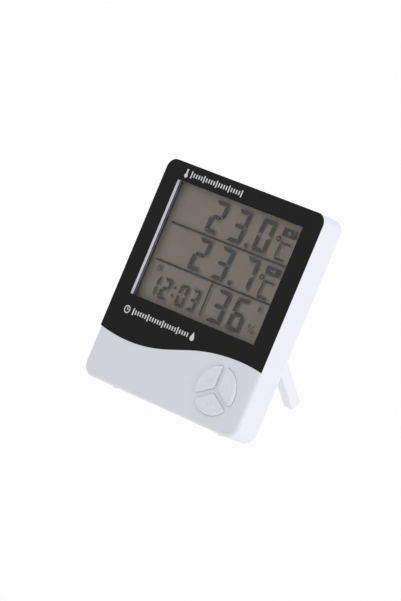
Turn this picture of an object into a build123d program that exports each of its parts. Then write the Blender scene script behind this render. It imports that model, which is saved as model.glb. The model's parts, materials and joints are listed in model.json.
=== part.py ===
from build123d import *
from math import asin, atan2, cos, degrees, hypot, pi, radians, sin, tan
import os

# A table clock that shows two temperatures, the humidity and the time.
# It leans back on a leg that folds out of its back. Lengths are in millimetres.
# Depths are counted backwards from the front of the black face film.

# Case
case_width = 100.0
case_height = 108.0
case_depth = 16.5
top_corner = 5.0
bottom_corner = 6.0
rear_rounding = 4.0
front_rounding = 2.0
front_wall = 1.8
side_wall = 1.8
back_wall = 1.6
joint_depth = case_depth - rear_rounding
overrun = 2.0

# Black face film, and the white lower front that stands a little in front of it.
# The wave between them is given in shares of the case's width and height.
film = 0.2
lower_step = 0.3
film_gap = 0.1
wave_shares = [
    (-0.5, 0.2185),
    (-0.4, 0.205),
    (-0.28, 0.2015),
    (-0.1, 0.2245),
    (0.1, 0.278),
    (0.3, 0.306),
    (0.5, 0.299),
]

# Window, placed by the borders left round it, and the display behind it
window_left_border = 9.4
window_right_border = 10.4
window_top_border = 8.7
window_bottom_border = 42.5
window_width = case_width - window_left_border - window_right_border
window_height = case_height - window_top_border - window_bottom_border
window_x = (window_left_border - window_right_border) / 2
window_z = window_bottom_border + window_height / 2
lens = 0.5
lens_margin = 1.2
bezel_lip = 0.6
bezel_reveal = 0.2
glass = 1.05
crystal_layer = 0.1
glass_margin = 0.9
strip_gap = 0.2
strip_end_gap = 2.0
contact_ledge = 2.0
reflector = 0.2
frame_wall = 1.0
frame_gap = 0.1
board_gap = 0.9
board = 1.2

# Depths of the layers behind the film
lens_depth = film + front_wall
lip_depth = lens_depth + lens
glass_depth = lip_depth + bezel_lip
rear_glass_depth = glass_depth + glass + crystal_layer
reflector_depth = rear_glass_depth + glass
board_depth = reflector_depth + reflector + board_gap
board_back = board_depth + board
wall_inside = case_depth - back_wall

# Leg. It is as thick as the room behind the board lets its pocket be.
leg_inset = 20.0
leg_x = case_width / 2 - leg_inset
leg_width = 5.4
pocket_gap = 0.3
pocket_wall = 1.2
pocket_board_gap = 1.4
leg_thickness = case_depth - board_back - pocket_board_gap - pocket_wall - pocket_gap
leg_length = 50.6
leg_opening = 53.1
hinge_height = 54.2
tip_rounding = 0.8
tip_back_rounding = 1.8

# The leg's tip and the case's rear bottom edge stand on the table, which sets the lean.
hinge_depth = case_depth - leg_thickness / 2
opening = radians(leg_opening)


def leg_point(along, across):
    """Depth and height of a point of the open leg, from its hinge."""
    depth = hinge_depth + along * sin(opening) + across * cos(opening)
    height = hinge_height - along * cos(opening) + across * sin(opening)
    return depth, height


tip_depth, tip_height = leg_point(leg_length - tip_rounding, tip_rounding - leg_thickness / 2)
span_depth = tip_depth - joint_depth
span_height = tip_height - rear_rounding
lean = atan2(span_height, span_depth) + asin((rear_rounding - tip_rounding) / hypot(span_depth, span_height))


def leant(depth, height):
    """How far back and how high a point of the case lies once the case leans."""
    return depth * cos(lean) + height * sin(lean), height * cos(lean) - depth * sin(lean)


# The origin is on the table, under the middle of the whole clock.
tip_back = leg_point(leg_length - tip_back_rounding, leg_thickness / 2 - tip_back_rounding)
tip_reach = leant(*tip_back)[0] + tip_back_rounding
top_reach = leant(joint_depth, case_height - rear_rounding)[0] + rear_rounding
toe_reach = leant(front_rounding - lower_step, front_rounding)[0] - front_rounding
table = leant(joint_depth, rear_rounding)[1] - rear_rounding
origin = (0, -(max(tip_reach, top_reach) + toe_reach) / 2, -table)

# face looks out of the front, side looks to the right and level looks up, all leant with the case.
face = Plane(origin, x_dir=(1, 0, 0), z_dir=(0, -cos(lean), sin(lean)))
side = Plane(origin, x_dir=(0, cos(lean), -sin(lean)), z_dir=(1, 0, 0))
level = Plane(origin, x_dir=(1, 0, 0), z_dir=(0, sin(lean), cos(lean)))
outward = Axis(face.origin, face.z_dir)
upward = Axis(level.origin, level.z_dir)
rightward = Axis(side.origin, side.z_dir)

# Front keys: three sectors of one circle, parted by a bridge with three arms
key_inset = 20.0
key_x = case_width / 2 - key_inset
key_z = 17.2
key_radius = 11.5
bridge = 2.7
key_gap = 0.3
key_rise = 1.2
key_travel = 0.8
key_edge = 0.7
key_rim = 1.1
key_dish = 0.3
key_dish_slope = 0.9
key_least_corner = 0.3
key_inner_corner = 1.8
key_outer_corner = 0.8
key_flange = 0.8
key_flange_lip = 0.6
key_play = 0.15
key_stem_radius = 2.3
key_stem_share = 0.56
pill_radius = 2.0
pill = 0.5
mode_angle = 150.0
adjust_angle = 30.0
memory_angle = 270.0
key_angles = (mode_angle, adjust_angle, memory_angle)

# Silicone keypad on the board, with a raised skirt round each stem
keypad = 0.8
keypad_margin = 0.6
skirt_radius = 4.3
skirt_top_radius = 3.4
skirt_wall = 0.6
skirt_gap = 0.15

# Screws and their bosses
screw_radius = 1.0
screw_head_radius = 1.8
screw_head = 1.2
screw_length = 8.0
screw_play = 0.05
head_play = 0.2
boss_radius = 2.4
column_radius = 2.5
boss_gap = 0.1
boss_inset = 4.8
boss_low = 6.6
boss_top_inset = 8.6
boss_high = case_height - boss_top_inset
head_sink = 2.3
cross_width = 0.5
cross_length = 2.4
cross_sink = 0.7

# Posts that hold the board
post_radius = 1.9
post_top_inset = 4.0
post_side_inset = 30.0
post_window_gap = 6.3
post_low_insets = (14.0, 56.0)
board_screw_radius = 0.8
board_screw_head_radius = 1.6
board_screw_head = 0.9
board_screw_length = 4.0

# Board outline: the display's part, and the part under the keys
board_boss_gap = 0.4
board_top_gap = 0.3
board_low_gap = 1.6
board_window_gap = 8.7
key_board_margin = 4.3
board_half_width = case_width / 2 - boss_inset - boss_radius - board_boss_gap
board_top = case_height - side_wall - board_top_gap
board_foot = window_bottom_border - board_window_gap
key_board_left = key_x - key_radius - keypad_margin - key_board_margin
key_board_bottom = side_wall + board_low_gap

# Back half: lip inside the front half, keyhole, vents and speaker holes
lip_gap = 0.1
lip_width = 1.2
lip_height = 1.5
keyhole_top_inset = 20.0
keyhole_z = case_height - keyhole_top_inset
keyhole_radius = 4.0
keyhole_slot = 4.2
keyhole_rise = 7.0
vent_inset = 22.0
vent_top_inset = 16.0
vent_count = 6
vent_length = 12.0
vent_width = 1.3
vent_pitch = 2.8
buzzer_inset = 24.0
buzzer_x = buzzer_inset - case_width / 2
buzzer_z = 62.0
buzzer_radius = 9.0
buzzer_plate = 0.3
buzzer_ceramic = 0.25
buzzer_ceramic_share = 0.72
buzzer_ring = 1.0
buzzer_ring_width = 1.0
sound_hole_radius = 0.8
sound_hole_reach = 3.2
sound_hole_count = 4

# Leg pocket and hinge pins
pocket_side = 1.5
pin_radius = 1.2
pin_play = 0.05
pin_length = 1.1
heel_height = 3.0
heel_gap = 0.05
leg_edge = 0.4
grip_radius = 5.0
grip_sink = 0.9
grip_height = 9.0
grip_side = 1.0

# Battery, its bay and its door. The bay fills the room between the left side and the keys,
# and from the front wall to the door. The cell fills the bay, which suits a slim standard cell.
cell_edge = 0.6
nub_radius = 1.9
nub_length = 1.1
cell_z = 17.2
bay_inset = 8.0
bay_front_gap = 0.7
bay_gap = 0.35
bay_wall = 1.2
contact_plate = 0.4
contact_side_gap = 1.7
contact_corner = 0.8
contact_gap = 0.1
dimple_radius = 1.6
dimple = 0.5
dimple_edge = 0.3
touch_gap = 0.05
wire_radius = 0.35
coil_turns = 3
coil_height = 4.55
wire_sides = 6
coil_radius = 3.1
coil_tip_radius = 1.9
door = 1.3
door_ledge = 1.0
door_gap = 0.2
door_angle = 30.0
hook = 1.2
hook_width = 3.0
hook_share = 0.28
latch_width = 8.0
latch_reach = 2.0
latch_board_gap = 1.4
thumb_radius = 5.0
thumb_sink = 0.7
latch_leg = 0.9
latch_drop = 3.6
ridge_count = 4
ridge_pitch = 1.4
ridge_width = 0.6
ridge_sink = 0.3
ridge_inset = 3.0

# Keys on the back
rear_key_z = 39.5
unit_key_inset = 20.0
reset_key_inset = 35.0
unit_key_x = unit_key_inset - case_width / 2
reset_key_x = reset_key_inset - case_width / 2
rear_key_xs = (unit_key_x, reset_key_x)
rear_key_radius = 2.5
rear_key_rise = 0.4
rear_key_edge = 0.3
rear_key_travel = 0.45
rear_key_flange = 0.8
rear_key_flange_lip = 0.9
rear_stem_radius = 1.6
rear_pill_radius = 1.4
guide_wall = 1.0
guide_gap = 0.25
guide_height = 2.4

# Socket for the outside probe, in the left side
jack_z = 60.0
jack_bore_radius = 1.27
jack_bore_length = 10.0
jack_length = 11.5
jack_width = 6.0
jack_height = 4.4
jack_gap = 0.5
jack_inset = 0.1
jack_hole_radius = 2.1
jack_nose_gap = 0.1
jack_nose_sink = 0.3
jack_edge = 0.3

# Small parts on the board
blob_x = 8.0
blob_z = 78.0
blob_radius = 7.0
blob = 1.5
can_x = -6.0
can_z = 60.0
can_radius = 1.0
can_length = 6.0
can_edge = 0.3
can_lead_radius = 0.2
can_lead_length = 1.5
can_lead_pitch = 0.7
sensor_drop = 8.9
bead_inset = 6.4
bead_x = bead_inset - board_half_width
bead_z = board_top - sensor_drop
bead_radius = 1.2
bead_crown_share = 0.45
bead_wall_gap = 1.9
bead_lead_radius = 0.25
bead_lead_pitch = 1.2
humidity_x = -19.0
humidity_z = board_top - sensor_drop
humidity_width = 9.0
humidity_height = 6.5
humidity_depth = 2.6
humidity_slots = 4
humidity_slot_width = 0.6
humidity_slot_sink = 0.6
humidity_slot_share = 0.66
capacitor_x = 20.0
capacitor_z = 62.0
capacitor_radius = 2.0
capacitor_length = 5.0
capacitor_groove = 0.3
capacitor_groove_share = 0.25

# Round feet under the case
foot_inset = 15.3
foot_joint_gap = 3.25
foot_x = case_width / 2 - foot_inset
foot_depth = joint_depth - foot_joint_gap
foot_radius = 1.5
foot_rise = 0.8
foot_sink = 0.7
foot_edge = 0.3
foot_play = 0.05


def at(depth):
    """The plane that lies at a depth behind the face film, looking out of the front."""
    return face.offset(-depth)


def rounded_outline(inset):
    """The case seen from the front, drawn in by inset."""
    with BuildSketch() as outline:
        with Locations((0, case_height / 2)):
            Rectangle(case_width - 2 * inset, case_height - 2 * inset)
        fillet(vertices().group_by(Axis.Y)[-1], top_corner - inset)
        fillet(vertices().group_by(Axis.Y)[0], bottom_corner - inset)
    return outline.sketch


def lower_front(gap):
    """Everything below the wave, raised by gap."""
    points = [(x * case_width, z * case_height + gap) for x, z in wave_shares]
    left = -case_width / 2 - overrun
    right = case_width / 2 + overrun
    with BuildSketch() as region:
        with BuildLine():
            Spline(*points)
            Polyline(
                points[-1],
                (right, points[-1][1]),
                (right, -overrun),
                (left, -overrun),
                (left, points[0][1]),
                points[0],
            )
        make_face()
    return region.sketch


def window(margin, ledge=0):
    """The window's opening, made larger all round by margin and longer below by ledge."""
    with BuildSketch() as opening_outline:
        with Locations((window_x, window_z - ledge / 2)):
            Rectangle(window_width + 2 * margin, window_height + 2 * margin + ledge)
    return opening_outline.sketch


def key_outline(angle, growth):
    """One sector of the key circle, its middle at angle, made larger by growth."""
    radius = key_radius + growth
    apex = (bridge / 2 - growth) / sin(pi / 3)
    spread = radius * tan(pi / 3)
    inner_corner = max(key_inner_corner + growth, key_least_corner)
    outer_corner = max(key_outer_corner + growth, key_least_corner)
    with BuildSketch() as sector:
        Circle(radius)
        with BuildLine():
            Polyline((apex, 0), (apex + radius, spread), (apex + radius, -spread), close=True)
        make_face(mode=Mode.INTERSECT)
        fillet(vertices().sort_by(Axis.X)[0], inner_corner)
        fillet(vertices().sort_by(Axis.Y)[0], outer_corner)
        fillet(vertices().sort_by(Axis.Y)[-1], outer_corner)
    return sector.sketch.rotate(Axis.Z, angle).translate((key_x, key_z, 0))


def key_middle(angle):
    """Where a key's stem stands."""
    reach = key_radius * key_stem_share
    return key_x + reach * cos(radians(angle)), key_z + reach * sin(radians(angle))


def block(left, right, low, high, front, back):
    """A box between two sides, two heights and two depths."""
    with BuildPart() as body:
        with BuildSketch(at(front)):
            with Locations(((left + right) / 2, (low + high) / 2)):
                Rectangle(right - left, high - low)
        extrude(amount=front - back)
    return body.part


def turned(x, z, profile):
    """A profile of radii and depths, turned about the line that runs back at x and z."""
    with BuildPart() as body:
        with BuildSketch(side.offset(x)):
            with BuildLine():
                Polyline(*[(depth, z + radius) for radius, depth in profile], close=True)
            make_face()
        revolve(axis=Axis(face.from_local_coords((x, z, 0)), face.z_dir))
    return body.part


def rod(x, z, radius, front, back):
    """A round rod that runs back at x and z from one depth to another."""
    return turned(x, z, [(0, front), (radius, front), (radius, back), (0, back)])


# Places that several pieces share
boss_x = case_width / 2 - boss_inset
screw_places = [(x, z) for x in (-boss_x, boss_x) for z in (boss_low, boss_high)]
post_x = case_width / 2 - post_side_inset
post_places = [(x, case_height - post_top_inset) for x in (-post_x, post_x)]
for inset in post_low_insets:
    post_places.append((inset - case_width / 2, window_bottom_border - post_window_gap))
screw_seat = case_depth - head_sink
rim = side_wall + lip_gap + lip_width
beyond = case_depth + overrun
flange_depth = lens_depth + key_play
flange_growth = key_gap + key_flange_lip
pill_depth = board_depth - touch_gap - key_travel - pill
keypad_depth = board_depth - keypad
skirt_depth = flange_depth + key_flange + key_travel + skirt_gap
guide_radius = rear_key_radius + rear_key_flange_lip + guide_gap
rear_flange_depth = wall_inside - key_play
rear_pill_depth = board_back + touch_gap + rear_key_travel
buzzer_depth = wall_inside - buzzer_ring
jack_depth = board_back + jack_height / 2
jack_left = side_wall + jack_inset - case_width / 2

# The bay, with the cell between its contacts
latch_right = key_board_left - latch_board_gap
bay_left = bay_inset - case_width / 2
bay_right = latch_right - latch_reach - bay_wall
bay_floor = lens_depth + bay_front_gap + bay_wall
door_depth = case_depth - door - door_gap / 2
bay_half = (door_depth - bay_floor) / 2
cell_radius = bay_half - bay_gap
cell_depth = (door_depth + bay_floor) / 2
contact_half = bay_half - contact_side_gap
spring_front = bay_left + contact_gap + contact_plate
plate_left = bay_right - contact_gap - contact_plate
cell_left = spring_front + coil_height + wire_radius + touch_gap
cell_right = plate_left - dimple - touch_gap - nub_length

# The door turns about the line where its hooks bear on the inside of the back wall.
swing = radians(door_angle)
pivot_x = bay_left - bay_wall
pivot_depth = wall_inside - door_gap / 2
door_inside = door_depth + door_gap / 2
hook_depth = pivot_depth - hook
hook_offset = 2 * (bay_half + door_ledge) * hook_share
hook_heights = (cell_z - hook_offset, cell_z + hook_offset)
hook_slot_depth = pivot_depth - hypot(hook, hook) - door_gap

# The leg's pocket
pocket_half = leg_width / 2 + pocket_gap
pocket_floor = case_depth - leg_thickness - pocket_gap
pocket_bottom = hinge_height - leg_length - 2 * pocket_gap
pocket_top = hinge_height + hypot(leg_thickness / 2 + pocket_gap, heel_height) + pocket_gap
pin_reach = leg_width / 2 + pocket_gap + pin_length
leg_way = (sin(opening), -cos(opening), 0)


def door_edge(depth):
    """Where the door's left edge lies at a depth, to stay clear of the case as the door swings."""
    return pivot_x + (2 * door_gap + (depth - pivot_depth) * sin(swing)) / cos(swing)


def key_body(angle):
    """A front key: its dished cap, the flange behind the case's wall and the stem."""
    cap_depth = -lower_step - key_rise
    with BuildPart() as body:
        with BuildSketch(at(cap_depth)):
            add(key_outline(angle, 0))
        extrude(amount=cap_depth - flange_depth)
        fillet(faces().sort_by(outward)[-1].edges(), key_edge)
        with BuildSketch(at(cap_depth)):
            add(key_outline(angle, -key_rim))
        with BuildSketch(at(cap_depth + key_dish)):
            add(key_outline(angle, -key_rim - key_dish_slope))
        loft(ruled=True, mode=Mode.SUBTRACT)
        with BuildSketch(at(flange_depth)):
            add(key_outline(angle, flange_growth))
        extrude(amount=-key_flange)
        add(rod(*key_middle(angle), key_stem_radius, flange_depth, pill_depth))
    return body.part


def rear_key_body(x):
    """A key on the back: its cap, the flange inside the back wall and the stem."""
    flange_front = rear_flange_depth - rear_key_flange
    flange_radius = rear_key_radius + rear_key_flange_lip
    cap_depth = case_depth + rear_key_rise
    profile = [
        (0, rear_pill_depth + pill),
        (rear_stem_radius, rear_pill_depth + pill),
        (rear_stem_radius, flange_front),
        (flange_radius, flange_front),
        (flange_radius, rear_flange_depth),
        (rear_key_radius, rear_flange_depth),
        (rear_key_radius, cap_depth - rear_key_edge),
        (rear_key_radius - rear_key_edge, cap_depth),
        (0, cap_depth),
    ]
    return turned(x, rear_key_z, profile)


def screw_body(x, z, radius, length, head_radius, head, seat):
    """A cross-head screw whose head rests on a seat and whose shank points forward."""
    profile = [
        (0, seat - length),
        (radius, seat - length),
        (radius, seat),
        (head_radius, seat),
        (head_radius, seat + head),
        (0, seat + head),
    ]
    with BuildPart() as body:
        add(turned(x, z, profile))
        with BuildSketch(at(seat + head)):
            with Locations((x, z)):
                Rectangle(cross_length * head_radius / screw_head_radius, cross_width)
                Rectangle(cross_width, cross_length * head_radius / screw_head_radius)
        extrude(amount=cross_sink, mode=Mode.SUBTRACT)
    return body.part


# Front half of the case
with BuildPart() as front_case:
    with BuildSketch(at(-lower_step)):
        add(rounded_outline(0))
    extrude(amount=-(joint_depth + lower_step))
    fillet(faces().sort_by(outward)[-1].edges(), front_rounding)
    with BuildSketch(at(-lower_step - overrun)):
        Rectangle(2 * case_width, 4 * case_height)
        add(lower_front(0), mode=Mode.SUBTRACT)
    extrude(amount=-(lower_step + overrun + film), mode=Mode.SUBTRACT)
    with BuildSketch(at(film)):
        add(rounded_outline(0))
        add(lower_front(0), mode=Mode.SUBTRACT)
    extrude(amount=-(front_rounding + front_wall))
    with BuildSketch(at(lens_depth)):
        add(rounded_outline(side_wall))
    extrude(amount=-(joint_depth - lens_depth), mode=Mode.SUBTRACT)
    with BuildSketch(at(film)):
        add(window(0))
    extrude(amount=-front_wall, mode=Mode.SUBTRACT)
    with BuildSketch(at(-lower_step)):
        for angle in key_angles:
            add(key_outline(angle, key_gap))
    extrude(amount=-(lower_step + lens_depth), mode=Mode.SUBTRACT)
    with BuildSketch(at(lens_depth)):
        with Locations(*screw_places):
            Circle(boss_radius)
            Circle(screw_radius + screw_play, mode=Mode.SUBTRACT)
    extrude(amount=-(joint_depth - boss_gap - lens_depth))
    with BuildSketch(at(lens_depth)):
        with Locations(*post_places):
            Circle(post_radius)
            Circle(board_screw_radius + screw_play, mode=Mode.SUBTRACT)
    extrude(amount=-(board_depth - lens_depth))
    with BuildSketch(side.offset(-case_width / 2)):
        with Locations((jack_depth, jack_z)):
            Circle(jack_hole_radius)
    extrude(amount=side_wall, mode=Mode.SUBTRACT)
    with BuildSketch(level):
        with Locations((-foot_x, foot_depth), (foot_x, foot_depth)):
            Circle(foot_radius)
    extrude(amount=foot_sink, mode=Mode.SUBTRACT)
front_case.part.label = "front_case"

# Back half of the case: a shallow tray that holds the battery bay and the leg's pocket
with BuildPart() as rear_hollow:
    with BuildSketch(at(joint_depth - overrun)):
        add(rounded_outline(rim))
    extrude(amount=-(wall_inside - joint_depth + overrun))

with BuildPart() as rear_case:
    with BuildSketch(at(joint_depth - overrun)):
        add(rounded_outline(0))
    extrude(amount=-(rear_rounding + overrun))
    fillet(faces().sort_by(outward)[0].edges(), rear_rounding)
    with BuildSketch(at(joint_depth)):
        Rectangle(2 * case_width, 4 * case_height)
    extrude(amount=2 * overrun, mode=Mode.SUBTRACT)
    add(rear_hollow.part, mode=Mode.SUBTRACT)
    # Lip that enters the front half, with room for its bosses and the socket
    with BuildSketch(at(joint_depth - lip_height)):
        add(rounded_outline(side_wall + lip_gap))
        add(rounded_outline(rim), mode=Mode.SUBTRACT)
        with Locations(*screw_places):
            Circle(boss_radius + lip_gap, mode=Mode.SUBTRACT)
    extrude(amount=-lip_height)
    right = rim + overrun - case_width / 2
    low = jack_z - jack_width / 2 - jack_gap
    high = jack_z + jack_width / 2 + jack_gap
    jack_back = board_back + jack_height + jack_gap
    add(block(side_wall - case_width / 2, right, low, high, board_back, jack_back), mode=Mode.SUBTRACT)
    with BuildSketch(side.offset(-case_width / 2)):
        with Locations((jack_depth, jack_z)):
            Circle(jack_hole_radius)
    extrude(amount=side_wall, mode=Mode.SUBTRACT)
    # Columns for the case screws
    with BuildSketch(at(joint_depth)):
        with Locations(*screw_places):
            Circle(column_radius)
    extrude(amount=joint_depth - wall_inside)
    with BuildSketch(at(joint_depth - overrun)):
        with Locations(*screw_places):
            Circle(screw_radius + screw_play)
    extrude(amount=joint_depth - overrun - case_depth, mode=Mode.SUBTRACT)
    with BuildSketch(at(screw_seat)):
        with Locations(*screw_places):
            Circle(screw_head_radius + head_play)
    extrude(amount=-(head_sink + overrun), mode=Mode.SUBTRACT)
    # Pocket for the leg, with blind holes for its pins
    left = leg_x - pocket_half
    right = leg_x + pocket_half
    low = side_wall + lip_gap
    high = pocket_top + pocket_wall
    add(block(left - pocket_side, right + pocket_side, low, high, pocket_floor - pocket_wall, wall_inside))
    add(block(left, right, pocket_bottom, pocket_top, pocket_floor, beyond), mode=Mode.SUBTRACT)
    with BuildSketch(side.offset(leg_x - pin_reach - pin_play)):
        with Locations((hinge_depth, hinge_height)):
            Circle(pin_radius + pin_play)
    extrude(amount=2 * (pin_reach + pin_play), mode=Mode.SUBTRACT)
    grip_depth = case_depth + grip_radius - grip_sink
    with Locations(face.from_local_coords((left - grip_side, grip_height, -grip_depth))):
        Sphere(grip_radius, mode=Mode.SUBTRACT)
    # Battery bay, the rebate for its door, the slots for the door's hooks and the latch's notch
    left = bay_left - bay_wall
    right = bay_right + bay_wall
    low = cell_z - bay_half
    high = cell_z + bay_half
    add(block(left, right, low - bay_wall, high + bay_wall, bay_floor - bay_wall, wall_inside))
    add(block(bay_left, bay_right, low, high, bay_floor, beyond), mode=Mode.SUBTRACT)
    rebate_left = bay_left - door_ledge
    rebate_right = bay_right + door_ledge
    rebate = block(rebate_left, rebate_right, low - door_ledge, high + door_ledge, door_depth, beyond)
    add(rebate, mode=Mode.SUBTRACT)
    for middle in hook_heights:
        low = middle - hook_width / 2 - door_gap
        high = middle + hook_width / 2 + door_gap
        add(block(left, bay_left, low, high, hook_slot_depth, door_depth), mode=Mode.SUBTRACT)
    low = cell_z - latch_width / 2 - door_gap
    high = cell_z + latch_width / 2 + door_gap
    add(block(bay_right, latch_right, low, high, door_depth, beyond), mode=Mode.SUBTRACT)
    add(block(right, latch_right, low, high, wall_inside, beyond), mode=Mode.SUBTRACT)
    thumb_depth = case_depth + thumb_radius - thumb_sink
    with Locations(face.from_local_coords((latch_right, cell_z, -thumb_depth))):
        Sphere(thumb_radius, mode=Mode.SUBTRACT)
    # Guides for the keys on the back, and the ring that carries the buzzer
    with BuildSketch(at(wall_inside - guide_height)):
        with Locations(*[(x, rear_key_z) for x in rear_key_xs]):
            Circle(guide_radius + guide_wall)
            Circle(guide_radius, mode=Mode.SUBTRACT)
    extrude(amount=-guide_height)
    with BuildSketch(at(buzzer_depth)):
        with Locations((buzzer_x, buzzer_z)):
            Circle(buzzer_radius)
            Circle(buzzer_radius - buzzer_ring_width, mode=Mode.SUBTRACT)
    extrude(amount=-buzzer_ring)
    # Openings through the back wall
    with BuildSketch(at(wall_inside)):
        with Locations(*[(x, rear_key_z) for x in rear_key_xs]):
            Circle(rear_key_radius + guide_gap)
        with Locations((0, keyhole_z)):
            Circle(keyhole_radius)
        with Locations((0, keyhole_z + keyhole_rise / 2)):
            SlotCenterToCenter(keyhole_rise, keyhole_slot, rotation=90)
        with Locations((vent_inset - case_width / 2, case_height - vent_top_inset)):
            with GridLocations(vent_length, vent_pitch, 1, vent_count):
                Rectangle(vent_length, vent_width)
        with Locations((buzzer_x, buzzer_z)):
            Circle(sound_hole_radius)
            with PolarLocations(sound_hole_reach, sound_hole_count):
                Circle(sound_hole_radius)
    extrude(amount=-(back_wall + overrun), mode=Mode.SUBTRACT)
rear_case.part.label = "rear_case"

# Black film on the front, down to the wave
with BuildPart() as face_film:
    with BuildSketch(at(0)):
        add(rounded_outline(0))
        add(lower_front(film_gap), mode=Mode.SUBTRACT)
        add(window(0), mode=Mode.SUBTRACT)
    extrude(amount=-film)
face_film.part.label = "face_film"

# Clear pane behind the window
with BuildPart() as window_lens:
    with BuildSketch(at(lens_depth)):
        add(window(lens_margin))
    extrude(amount=-lens)
window_lens.part.label = "window_lens"

# Frame that holds the display against the pane
with BuildPart() as lcd_frame:
    with BuildSketch(at(lip_depth)):
        add(window(glass_margin + frame_gap + frame_wall, contact_ledge))
        add(window(bezel_reveal), mode=Mode.SUBTRACT)
    extrude(amount=-bezel_lip)
    with BuildSketch(at(glass_depth)):
        add(window(glass_margin + frame_gap + frame_wall, contact_ledge))
        add(window(glass_margin + frame_gap, contact_ledge), mode=Mode.SUBTRACT)
    extrude(amount=glass_depth - board_depth)
lcd_frame.part.label = "lcd_frame"

# Display glasses, the front one longer below, where its contacts are
with BuildPart() as lcd_front_glass:
    with BuildSketch(at(glass_depth)):
        add(window(glass_margin, contact_ledge))
    extrude(amount=-glass)
lcd_front_glass.part.label = "lcd_front_glass"

with BuildPart() as lcd_rear_glass:
    with BuildSketch(at(rear_glass_depth)):
        add(window(glass_margin))
    extrude(amount=-glass)
lcd_rear_glass.part.label = "lcd_rear_glass"

with BuildPart() as lcd_reflector:
    with BuildSketch(at(reflector_depth)):
        add(window(glass_margin))
    extrude(amount=-reflector)
lcd_reflector.part.label = "lcd_reflector"

# Rubber strip that joins the display's contacts to the board
strip_half = window_width / 2 + glass_margin - strip_end_gap
strip_top = window_z - window_height / 2 - glass_margin - strip_gap
with BuildPart() as zebra_strip:
    strip_low = strip_top + 2 * strip_gap - contact_ledge
    strip_front = glass_depth + glass
    add(block(window_x - strip_half, window_x + strip_half, strip_low, strip_top, strip_front, board_depth))
zebra_strip.part.label = "zebra_strip"

# Circuit board: behind the display, and down behind the front keys
with BuildPart() as main_board:
    with BuildSketch(at(board_depth)):
        with Locations((0, (board_top + board_foot) / 2)):
            Rectangle(2 * board_half_width, board_top - board_foot)
        with Locations(((key_board_left + board_half_width) / 2, (board_top + key_board_bottom) / 2)):
            Rectangle(board_half_width - key_board_left, board_top - key_board_bottom)
        with Locations(*post_places):
            Circle(board_screw_radius + screw_play, mode=Mode.SUBTRACT)
    extrude(amount=-board)
main_board.part.label = "main_board"

# Sealed chip on the back of the board
with BuildPart() as chip_blob:
    dome = (blob_radius ** 2 + blob ** 2) / (2 * blob)
    with Locations(face.from_local_coords((blob_x, blob_z, dome - board_back - blob))):
        Sphere(dome)
    with BuildSketch(at(board_back)):
        with Locations((blob_x, blob_z)):
            Circle(2 * dome)
    extrude(amount=2 * dome, mode=Mode.SUBTRACT)
chip_blob.part.label = "chip_blob"

# Quartz crystal in its can, lying on the board
with BuildPart() as crystal_can:
    with BuildSketch(level.offset(can_z)):
        with Locations((can_x, board_back + can_radius)):
            Circle(can_radius)
    extrude(amount=can_length)
    chamfer(faces().sort_by(upward)[-1].edges(), can_edge)
    with BuildSketch(level.offset(can_z)):
        with Locations((can_x, board_back + can_radius)):
            with GridLocations(can_lead_pitch, can_lead_pitch, 2, 1):
                Circle(can_lead_radius)
    extrude(amount=-can_lead_length)
crystal_can.part.label = "crystal_can"

# Room temperature sensor: a bead on two wires
with BuildPart() as thermistor_bead:
    bead_back = wall_inside - bead_wall_gap
    bead_front = bead_back - 2 * bead_radius
    crown = bead_radius * bead_crown_share
    for lead_x in (bead_x - bead_lead_pitch / 2, bead_x + bead_lead_pitch / 2):
        add(rod(lead_x, bead_z, bead_lead_radius, board_back, bead_front + bead_radius))
    add(turned(bead_x, bead_z, [
        (0, bead_front),
        (crown, bead_front),
        (bead_radius, bead_front + crown),
        (bead_radius, bead_back - crown),
        (crown, bead_back),
        (0, bead_back),
    ]))
thermistor_bead.part.label = "thermistor_bead"

# Humidity sensor: a small slotted box
with BuildPart() as humidity_sensor:
    with BuildSketch(at(board_back)):
        with Locations((humidity_x, humidity_z)):
            Rectangle(humidity_width, humidity_height)
    extrude(amount=-humidity_depth)
    with BuildSketch(at(board_back + humidity_depth)):
        with Locations((humidity_x, humidity_z)):
            with GridLocations(humidity_width / humidity_slots, humidity_height, humidity_slots, 1):
                Rectangle(humidity_slot_width, humidity_height * humidity_slot_share)
    extrude(amount=humidity_slot_sink, mode=Mode.SUBTRACT)
humidity_sensor.part.label = "humidity_sensor"

# Capacitor, lying on the board, with the groove near its end
with BuildPart() as capacitor:
    with BuildSketch(level.offset(capacitor_z)):
        with Locations((capacitor_x, board_back + capacitor_radius)):
            Circle(capacitor_radius)
    extrude(amount=capacitor_length)
    chamfer(faces().sort_by(upward)[-1].edges(), capacitor_groove)
    with BuildSketch(level.offset(capacitor_z + capacitor_length * capacitor_groove_share)):
        with Locations((capacitor_x, board_back + capacitor_radius)):
            Circle(capacitor_radius)
            Circle(capacitor_radius - capacitor_groove, mode=Mode.SUBTRACT)
    extrude(amount=capacitor_groove, mode=Mode.SUBTRACT)
capacitor.part.label = "capacitor"

# Buzzer: a thin metal disc on its ring, with a smaller ceramic disc on it
with BuildPart() as buzzer:
    ceramic_radius = buzzer_radius * buzzer_ceramic_share
    ceramic_depth = buzzer_depth - buzzer_plate - buzzer_ceramic
    add(turned(buzzer_x, buzzer_z, [
        (0, ceramic_depth),
        (ceramic_radius, ceramic_depth),
        (ceramic_radius, buzzer_depth - buzzer_plate),
        (buzzer_radius, buzzer_depth - buzzer_plate),
        (buzzer_radius, buzzer_depth),
        (0, buzzer_depth),
    ]))
buzzer.part.label = "buzzer"

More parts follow.
